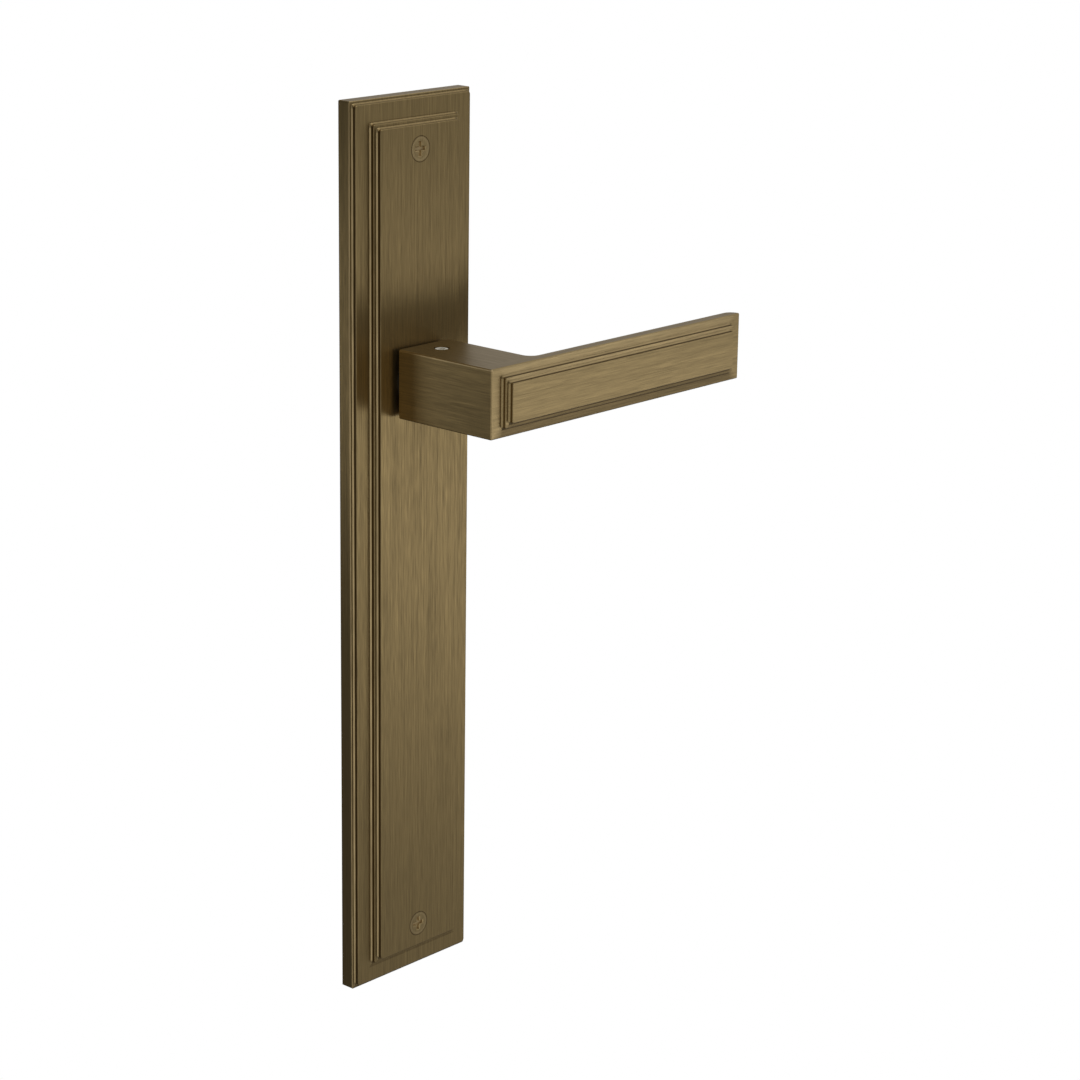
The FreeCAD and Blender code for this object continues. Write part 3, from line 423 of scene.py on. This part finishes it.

# %% [markdown]
# ## Brushed antique bronze
#
# The casting is brushed with an abrasive belt, darkened in a bath, and rubbed back, so the
# colour is thin: the belt's scratches, the corners of the steps and the edges all differ.
# A tiled picture of brushed metal would repeat and stretch at the steps. Noise squeezed
# across the belt and drawn out along it never repeats. The corners and edges are found
# with sums on the surface point, because the steps are parallel to the plate's outline:
# one number, the distance in from the outline, says on which step a point lies.
#
# The shares of patina and rub differ by side, and they were tuned against the photograph.
# What differs by side is painted light: painted shade on risers, roots, bottoms and lower
# edges, and painted highlights on splays, upper frames and upper edges.

# %% Shared bronze colours and numbers
BRONZE = srgb(158, 136, 92)
# Worn colour, used for rub and for painted highlights.
WORN_AND_HIGHLIGHT_BRONZE = srgb(196, 173, 128)
# Patina colour, used for the patina in hollows and for painted shade.
PATINA_AND_SHADE = srgb(84, 66, 36)
CAST_BRONZE = srgb(146, 124, 84)
# Pale colour painted into the screws' cross recesses: painted light that lifts their shade.
PAINTED_RECESS_LIGHT = srgb(204, 178, 126)
ALONG_X, ALONG_Y, ALONG_Z = 0, 1, 2
STREAK_SETS = [  # lumps in a metre across the belt, along it, and strength
    (4000.0, 130.0, 1.6), (1700.0, 18.0, 1.1), (520.0, 10.0, 0.2),
]
SCRATCH_MM, SAND_MM = 0.010, 0.05
HAIR = 0.1 * MM
MITRE = (0.3 * MM, 0.6 * MM)
# Bands beside a step: their start and end past its riser, and their blur. The step has
# a splayed root of 0.5 mm before its riser.
RISER = (-0.06 * MM, 0.08 * MM, 0.05 * MM)
ROOT = (-0.70 * MM, -0.47 * MM, 0.10 * MM)
SPLAY = (-0.45 * MM, -0.10 * MM, 0.08 * MM)
ARRIS = (0.12 * MM, 0.40 * MM, 0.10 * MM)
SHADE_END, SHADE_BLUR = -0.20 * MM, 0.12 * MM


def drawn_out(across, along, direction):
    """The three scales of a noise that is drawn out along one of the axes."""
    return tuple(along if axis == direction else across for axis in range(3))


def streaks(bench, point, direction):
    """Belt scratches as a height that swings about 0: three sets of drawn-out noise."""
    return reduce(Wire.__add__, [
        (bench.cloud(point, drawn_out(across, along, direction), detail=1.0) - 0.5) * strength
        for across, along, strength in STREAK_SETS
    ])


def bronze(bench, grain, patina_and_shade, wear_and_highlight, rough, normal):
    """Principled values for brushed bronze from its grain, its dark corners and bright edges, which
    hold painted shade and painted highlights as well.
    """
    mottle = bench.cloud(bench.place(), 28.0, detail=3.0, rough=0.55)
    tone = 0.94 + grain * 0.40 + mottle * 0.12
    colour = bench.blend(wear_and_highlight * 0.9, BRONZE, WORN_AND_HIGHLIGHT_BRONZE)
    colour = bench.blend(patina_and_shade * 0.8, colour, PATINA_AND_SHADE)
    return {
        "Base Color": bench.scaled(colour, tone),
        "Metallic": 1.0,
        "Roughness": rough - grain * 0.10 + patina_and_shade * 0.12 - wear_and_highlight * 0.08,
        "Normal": normal,
        "Coat Weight": 0.15,
        "Coat Roughness": 0.35,
    }


def step_lines(inset, steps, kept, rub_and_highlight, shade, reach):
    """Patina and painted shade darken the steps, and rub and painted highlights lighten them.

    Kept has the dark shares on a riser and on the root line before it, rubbed has the painted
    highlight's share on the splay and the rub's share on the arris, and shade is painted shade
    that reaches out from a step.
    """
    shaded = (-reach, SHADE_END, SHADE_BLUR)
    dark, bright = [], []
    for step in steps:
        dark += [inset.near(step, RISER) * kept[0], inset.near(step, ROOT) * kept[1]]
        dark += [inset.near(step, shaded) * shade]
        bright += [inset.near(step, SPLAY) * rub_and_highlight[0], inset.near(step, ARRIS) * rub_and_highlight[1]]
    return most_of(dark), most_of(bright)


print("bronze scratches", [round(1 / across / MM, 2) for across, *_ in STREAK_SETS], "mm across")

# %% The plate's bronze
PLATE_SIDE, PLATE_TOP, PLATE_BOTTOM = 27.25 * MM, 91.5 * MM, -208.5 * MM
PLATE_STEPS = [1.25 * MM, 7.7 * MM, 9.25 * MM]
FRONT_FROM = -4.2 * MM
HOLLOWS = [(3.1 * MM, -4.1 * MM), (11.5 * MM, -7.2 * MM)]  # where each starts, how deep it is
BACK_RIM = -0.2 * MM
RIGHT_EDGE_FROM = PLATE_SIDE - 0.5 * MM
FRONT_BLUR = 0.2 * MM
SCREW_HEIGHTS = [74.5 * MM, -191.5 * MM]
HEAD_RADIUS = 4.15 * MM
HEAD_SEAM = (-0.15 * MM, 0.15 * MM, 0.15 * MM)
# Shares on the plate's sides, and then along its top: patina with painted shade on the risers and
# the roots, and painted highlights on the splays. The bottom is like the sides, but its splays get
# no painted highlight, and its steps have painted shade that reaches further out.
PLATE_RISER_PATINA_AND_SHADE, PLATE_ROOT_PATINA_AND_SHADE = (0.85, 0.35), (0.12, 0.37)
PLATE_SPLAY_HIGHLIGHT, ARRIS_BRIGHT = (0.75, 0.1875), 0.1
PLATE_SHADE, PLATE_SHADE_REACH = 0.42, 1.5 * MM
# The line along the outline, a painted highlight at the left and the top and painted shade at the
# right and the bottom: its width on the sides and the top, and then at the bottom.
OUTLINE_WIDTH, OUTLINE_HIGHLIGHT, OUTLINE_BLUR = (0.3 * MM, 0.6 * MM), 0.5, 0.15 * MM
PLATE_ROUGH = 0.40


def plate_wear_and_painted_light(x, inset, over, under):
    """Patina, rub and painted light and shade on the plate's front, on its steps and along its
    outline.

    Over is 1 past the upper mitres, along the top, and under is 1 along the bottom. The
    outline has a painted highlight at the left and the top and painted shade at the right and
    the bottom.
    """
    # Dark shares on risers and roots: patina with painted shade; the splay's bright share is a
    # painted highlight.
    kept = (over.between(*PLATE_RISER_PATINA_AND_SHADE), over.between(*PLATE_ROOT_PATINA_AND_SHADE))
    rub_and_highlight = (over.between(*PLATE_SPLAY_HIGHLIGHT) * (1.0 - under), ARRIS_BRIGHT)
    shade = under * PLATE_SHADE
    foot, edge = step_lines(inset, PLATE_STEPS, kept, rub_and_highlight, shade, PLATE_SHADE_REACH)
    # The outline: painted highlight at the left and the top, painted shade at the right and the
    # bottom.
    outline = inset.below(under.between(*OUTLINE_WIDTH), OUTLINE_BLUR)
    away = under.most(x.above(RIGHT_EDGE_FROM, FRONT_BLUR))
    return foot.most(outline * away), edge.most(outline * (1.0 - away) * OUTLINE_HIGHLIGHT)


def plate_bronze(bench):
    """Brushed upright in front, cast behind, dark at the foot of each step, partly with painted
    shade, and lighter on its edges with rub and painted highlights.
    """
    point = bench.place()
    x, y, z = bench.split(point)
    beside, from_top, from_bottom = PLATE_SIDE - abs(x), PLATE_TOP - z, z - PLATE_BOTTOM
    inset = beside.least(from_top).least(from_bottom)
    over, under = (beside - from_top).above(*MITRE), (beside - from_bottom).above(*MITRE)
    front = y.below(FRONT_FROM, FRONT_BLUR)
    foot, edge = plate_wear_and_painted_light(x, inset, over, under)
    seams = [bench.reach(x, z - height).near(HEAD_RADIUS, HEAD_SEAM) for height in SCREW_HEIGHTS]
    dark = most_of([foot, *seams]) * front
    rooms = [inset.above(start, HAIR) * y.above(depth, HAIR) for start, depth in HOLLOWS]
    cast = most_of([*rooms, y.above(BACK_RIM, HAIR)])
    brushed = 1.0 - cast
    grain = streaks(bench, point, ALONG_Z)
    sand = bench.cloud(point, 1500.0, detail=4.0, rough=0.6)
    cloudy = bench.cloud(point, 120.0, detail=3.0)
    normal = bench.bump(grain * brushed * SCRATCH_MM + sand * cast * SAND_MM, MM)
    values = bronze(bench, grain, dark, edge * front, PLATE_ROUGH, normal)
    raw = bench.scaled(CAST_BRONZE, 0.7 + sand * 0.3 + cloudy * 0.35)
    values["Base Color"] = bench.blend(cast, values["Base Color"], raw)
    values["Roughness"] = values["Roughness"] * brushed + (0.52 + sand * 0.2) * cast
    return values


dress("backplate", finish("plate_bronze", plate_bronze))
print("plate steps at", [round(step / MM, 2) for step in PLATE_STEPS], "mm from the outline")

# %% The lever's bronze
LEVER_SIDE, LEVER_TIP, LEVER_LEFT = 11.4 * MM, 112.8 * MM, -11.4 * MM
ARM_BACK, ARM_FRONT, NECK_BACK = -47.4 * MM, -51.6 * MM, -10.8 * MM
PAST_NECK = 12.0 * MM
PANEL_STEPS = [3.2 * MM, 4.9 * MM]
PANEL_END = 1.8 * MM
FRAME_MITRE = (0.0, 4.0 * MM)
# Shares of patina with painted shade at the panel's two ends and along its bottom, and then
# along its top. Along the bottom the steps also get painted shade that reaches out from them.
PANEL_RISER_PATINA_AND_SHADE, PANEL_ROOT_PATINA_AND_SHADE = (0.38, 1.0), (0.12, 0.0)
PANEL_SHADE_REACH = 0.8 * MM
# Painted highlight on the upper frame, painted shade on the lower one, and the whole front
# lighter, the left frame more so.
UPPER_FRAME_HIGHLIGHT, LOWER_FRAME_SHADE, FRONT_BRIGHT = 0.6, 0.56, (0.22, 0.42)
UPPER_FRAME, LOWER_FRAME = (PANEL_STEPS[1], HAIR), (PANEL_STEPS[1] - 0.3 * MM, HAIR)
LEFT_FRAME = (PANEL_END + PANEL_STEPS[0] - 0.4 * MM, 0.3 * MM)
# How far the rub, painted highlights and painted shade go in from an edge, or where they start
# and end beside it, and their blur.
UPPER_EDGE, LOWER_EDGE = (0.35 * MM, 0.15 * MM), (0.30 * MM, 0.15 * MM)
LEFT_EDGE, TIP_EDGE = (0.45 * MM, 0.15 * MM), (0.35 * MM, 0.15 * MM)
NEAR_CORNER = (0.65 * MM, 0.3 * MM)
FRONT_EDGE = (-0.30 * MM, 0.35 * MM, HAIR)
BACK_EDGE = (-0.35 * MM, 0.30 * MM, HAIR)
PLATE_SIDE_EDGE = (NECK_BACK - 0.35 * MM, 0.15 * MM)
UPPER_EDGE_HIGHLIGHT, ENDS_BRIGHT, LOWER_EDGE_SHADE = 0.3, 0.25, 0.8
ARM_FACE = (ARM_FRONT + HAIR, 0.15 * MM)
NECK_GRAIN_FROM = (ARM_BACK + 0.5 * MM, 2.0 * MM)
LEVER_GRAIN, LEVER_ROUGH = 0.72, 0.38


def panel_wear_and_painted_light(from_left, side, end, high, low):
    """Patina, rub and painted light and shade on the arm's front: the panel's steps and the frame
    round the panel.
    """
    mitre, frame_mitre = (end - side).above(*MITRE), (end - side).above(*FRAME_MITRE)
    over, under = high * mitre, low * mitre
    # Dark shares on the steps: patina with painted shade.
    kept = (over.between(*PANEL_RISER_PATINA_AND_SHADE), over.between(*PANEL_ROOT_PATINA_AND_SHADE))
    inset, rub_and_highlight = side.least(end), (0.0, ARRIS_BRIGHT)
    foot, bright = step_lines(inset, PANEL_STEPS, kept, rub_and_highlight, under, PANEL_SHADE_REACH)
    # Painted highlight on the upper frame, painted shade on the lower frame.
    upper_frame_highlight = side.below(*UPPER_FRAME) * high * frame_mitre * UPPER_FRAME_HIGHLIGHT
    lower_frame_shade = side.below(*LOWER_FRAME) * low * frame_mitre * LOWER_FRAME_SHADE
    # The whole front is lighter, the left frame more so.
    beside = from_left.below(*LEFT_FRAME).between(*FRONT_BRIGHT)
    return foot.most(lower_frame_shade), most_of([bright, upper_frame_highlight, beside])


def lever_edge_rub_and_highlights(x, y, from_left, side, high):
    """Light along the lever's edges: painted highlights, most at its upper left corner and faint
    along its upper edges, and rub at the front corners of both ends.
    """
    from_tip = LEVER_TIP - x
    left, tip = from_left.below(*LEFT_EDGE), from_tip.below(*TIP_EDGE)
    outer, inner = y.near(ARM_FRONT, FRONT_EDGE), y.near(ARM_BACK, BACK_EDGE)
    behind = y.above(*PLATE_SIDE_EDGE)
    faint = most_of([outer, tip, inner * x.above(PAST_NECK, MM), behind])
    corner = side.below(*NEAR_CORNER) * from_left.below(*NEAR_CORNER) * high
    upper = side.below(*UPPER_EDGE) * high * faint * UPPER_EDGE_HIGHLIGHT
    return most_of([corner, upper, outer * left.most(tip) * ENDS_BRIGHT])


def lever_bronze(bench):
    """Brushed along the arm and, on the neck's sides and top, from the plate to the arm."""
    point = bench.place()
    x, y, z = bench.split(point)
    from_left, side = x - LEVER_LEFT, LEVER_SIDE - abs(z)
    end = from_left.least(LEVER_TIP - x) - PANEL_END
    high, low = z.above(0.0, MM), z.below(0.0, MM)
    front = y.below(*ARM_FACE)
    foot, rub_and_highlight = panel_wear_and_painted_light(from_left, side, end, high, low)
    # Painted shade along the lower edge; the edges' light is rub with painted highlights.
    dark = (foot * front).most(side.below(*LOWER_EDGE) * low * LOWER_EDGE_SHADE)
    wear_and_highlight = lever_edge_rub_and_highlights(x, y, from_left, side, high).most(rub_and_highlight * front)
    neck = y.above(*NECK_GRAIN_FROM).most(from_left.below(*LEFT_EDGE))
    across, inward = streaks(bench, point, ALONG_X), streaks(bench, point, ALONG_Y)
    grain = (across * (1.0 - neck) + inward * neck) * LEVER_GRAIN
    return bronze(bench, grain, dark, wear_and_highlight, LEVER_ROUGH, bench.bump(grain, SCRATCH_MM * MM))


dress("lever", finish("lever_bronze", lever_bronze))
print("lever panel steps at", [round(step / MM, 2) for step in PANEL_STEPS], "mm from its sides")

# %% [markdown]
# ## Screws, spring and the parts behind the plate
#
# The screw heads are finished with the plate, so the belt's scratches run over them too.
# Everything behind the plate is plain: zinc castings, zinc plated steel, an oiled spring,
# a nylon bush. Each one still has its own surface, because the back of the handle is
# seen as soon as it is taken off the door.

# %% Finishes of the small parts
# The cross recess is pale and nearly matt, and its splay lighter: painted light that lifts their
# shade.
RECESS_FROM, RECESS_SPLAY = (-8.95 * MM, 0.2 * MM), (-9.27 * MM, -9.02 * MM, 0.04 * MM)
HEAD_RUB = (-0.95 * MM, -0.40 * MM, 0.2 * MM)
RING_BRIGHT, RECESS_SPLAY_HIGHLIGHT, HEAD_BRIGHT = 0.7, 0.4, 0.3
HEAD_ROUGH, PAINTED_RECESS_METALLIC = 0.36, 0.1
GRUB_AXIS, GRUB_THREAD_FROM = -19.0 * MM, 2.07 * MM
STEEL_COLOURS = srgb(176, 178, 180), srgb(206, 204, 196)
# Near-white: a painted glint on the grub screw's end.
GRUB_GLINT_COLOURS = srgb(236, 230, 214), srgb(255, 252, 240)
CASTING_COLOURS = srgb(128, 129, 130), srgb(168, 168, 165)
SPRING_COLOURS = srgb(84, 80, 76), srgb(104, 106, 114)
NYLON_COLOURS = srgb(34, 30, 25), srgb(50, 45, 38)


def screw_bronze(bench):
    """Bronze brushed with the plate, made pale and nearly matt in the cross recess and on the
    shank: painted light that lifts the recess's shade.

    A dark line lies on the seam of head and countersink, a ring of rub inside it, and a painted
    highlight on the recess's splay.
    """
    point = bench.place()
    x, y, z = bench.split(point)
    out = bench.reach(x, abs(z - SCREW_HEIGHTS[0]).least(abs(z - SCREW_HEIGHTS[1])))
    groove = out.above(HEAD_RADIUS + HEAD_SEAM[0], HEAD_SEAM[2])
    ring, splay = out.near(HEAD_RADIUS, HEAD_RUB), y.within(*RECESS_SPLAY)
    wear_and_highlight = (ring * RING_BRIGHT).most(splay * RECESS_SPLAY_HIGHLIGHT).most(HEAD_BRIGHT)
    grain = streaks(bench, point, ALONG_Z)
    values = bronze(bench, grain, groove, wear_and_highlight, HEAD_ROUGH, bench.bump(grain, SCRATCH_MM * MM))
    # Painted light: the recess is pale and nearly matt to lift its shade.
    sunk = y.above(*RECESS_FROM)
    values["Base Color"] = bench.blend(sunk, values["Base Color"], PAINTED_RECESS_LIGHT)
    values["Metallic"] = sunk.between(1.0, PAINTED_RECESS_METALLIC)
    return values


def plated_steel(direction):
    """Zinc plated steel: drawn lines one way, faint cloudy spots, a soft sheen."""
    def build(bench):
        point = bench.place()
        drawn = bench.cloud(point, drawn_out(2600.0, 60.0, direction), detail=3.0, rough=0.6)
        spots = bench.cloud(point, 160.0, detail=4.0, rough=0.6)
        colour = bench.blend(spots, *STEEL_COLOURS)
        return {
            "Base Color": bench.scaled(colour, 0.84 + drawn * 0.28),
            "Metallic": 1.0,
            "Roughness": 0.26 + spots * 0.12 + drawn * 0.1,
            "Normal": bench.bump(drawn, 0.005 * MM),
        }
    return build


def zinc_with_painted_glint(bench):
    """A near-white matt colour on the grub screw, a painted glint, and the dark bronze colour where
    its thread runs round it.
    """
    point = bench.place()
    x, y, _ = bench.split(point)
    threaded = bench.reach(x, y - GRUB_AXIS).above(GRUB_THREAD_FROM, HAIR)
    spots = bench.cloud(point, 900.0, detail=3.0)
    return {
        "Base Color": bench.blend(threaded, bench.blend(spots, *GRUB_GLINT_COLOURS), PATINA_AND_SHADE),
        "Metallic": 0.0,
        "Roughness": 0.3 + spots * 0.1,
        "Normal": bench.bump(spots, 0.01 * MM),
    }


def cast_zinc(bench):
    """Die cast zinc: dull grey with flow marks and fine pits."""
    point = bench.place()
    flow = bench.cloud(point, (220.0, 90.0, 220.0), detail=4.0, rough=0.6)
    pits = bench.cloud(point, 2400.0)
    colour = bench.blend(flow, *CASTING_COLOURS)
    return {
        "Base Color": bench.scaled(colour, 0.86 + pits * 0.2),
        "Metallic": 0.9,
        "Roughness": 0.44 + flow * 0.14,
        "Normal": bench.bump(flow * 0.4 + pits * 0.6, 0.02 * MM),
    }


def spring_steel(bench):
    """Oiled spring steel: dark, nearly smooth, with brown and blue clouds."""
    point = bench.place()
    clouds = bench.cloud(point, 350.0, detail=3.0)
    lines = bench.cloud(point, 1800.0)
    colour = bench.blend(clouds, *SPRING_COLOURS)
    return {
        "Base Color": bench.scaled(colour, 0.85 + lines * 0.25),
        "Metallic": 1.0,
        "Roughness": 0.28 + clouds * 0.15,
        "Normal": bench.bump(lines, 0.004 * MM),
        "Coat Weight": 0.4,
        "Coat Roughness": 0.12,
    }


def dark_nylon(bench):
    """Moulded black nylon: matt, with a fine spark-eroded texture."""
    point = bench.place()
    texture = bench.cloud(point, 3000.0)
    clouds = bench.cloud(point, 200.0)
    colour = bench.blend(clouds, *NYLON_COLOURS)
    return {
        "Base Color": bench.scaled(colour, 0.9 + texture * 0.2),
        "Roughness": 0.5 + texture * 0.12,
        "Normal": bench.bump(texture, 0.01 * MM),
    }


SMALL_FINISHES = {
    "screw_bronze": (screw_bronze, ("top_screw", "bottom_screw")),
    "drawn_steel": (plated_steel(ALONG_Y), ("spindle", "cover_screws")),
    "zinc_with_painted_glint": (zinc_with_painted_glint, ("set_screw",)),
    "rolled_steel": (plated_steel(ALONG_X), ("cassette_cover",)),
    "cast_zinc": (cast_zinc, ("spring_housing", "driver_cam")),
    "spring_steel": (spring_steel, ("return_spring", "retaining_ring")),
    "dark_nylon": (dark_nylon, ("bearing_bush",)),
}
materials = {}
for title, (build, nodes) in SMALL_FINISHES.items():
    materials[title] = finish(title, build)
    for name in nodes:
        dress(name, materials[title])
print("small finishes:", sorted(materials))

# %% [markdown]
# ## Threads on the fixing screws
#
# The solids stop at plain cylinders of the thread's mean diameter. The thread itself is a
# ridge wound round that cylinder. It could be a Screw modifier on a small profile, but a
# surface worked out from its own formula has exact ends: the ridge rises out of the core
# and sinks into it again over half a turn, as a rolled thread does.

# %% Wound ridge
THREAD_CORE, THREAD_CREST, THREAD_PITCH = 1.8 * MM, 2.0 * MM, 0.7 * MM
THREAD_START, THREAD_END = 0.4 * MM, 15.6 * MM
# The ridge's outline, in shares of the pitch and of its height: foot, crest, crest, foot.
RIDGE_ALONG, RIDGE_RISE = [0.02, 0.42, 0.58, 0.98], [0.0, 1.0, 1.0, 0.0]
RIDGE_SUNK, LEAST_RISE = 0.02 * MM, 0.02
STEPS_IN_A_TURN = 24


def wound_ridge(height):
    """Points of a ridge round a core that runs along Y at a height above the lever's axis.

    A point has a turn t, which also carries it along Y by the pitch times t over 2 pi, and
    a place on the ridge's outline: foot, crest, crest, foot. The crest is low at both ends.
    """
    turns = (THREAD_END - THREAD_START - THREAD_PITCH) / THREAD_PITCH
    turn = np.linspace(0, turns * 2 * math.pi, int(turns * STEPS_IN_A_TURN))[:, None]
    rise = np.clip(np.minimum(turn, turn[-1] - turn) / math.pi, LEAST_RISE, 1.0)
    foot = THREAD_CORE - RIDGE_SUNK
    radius = foot + (THREAD_CREST - foot) * np.array(RIDGE_RISE)[None, :] * rise
    along = np.array(RIDGE_ALONG)[None, :] * THREAD_PITCH
    depth = THREAD_START + THREAD_PITCH * turn / (2 * math.pi) + along
    points = np.stack([radius * np.cos(turn), depth, radius * np.sin(turn) + height], axis=2)
    return points.reshape(-1, 3)


corners = np.arange(len(RIDGE_ALONG))
for name, height in zip(("top_screw_thread", "bottom_screw_thread"), SCREW_HEIGHTS):
    points = wound_ridge(height)
    ends = [corners[::-1], len(points) - len(corners) + corners]
    faces = np.vstack([grid_faces(len(points) // len(corners), len(corners)), ends])
    ridge = mesh_object(name, points, faces, materials["screw_bronze"])
    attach(ridge, "plate")
    print(name, len(faces), "faces")

# %% Sizes of what is shown
print("box of what is shown in metres:", plain_box())
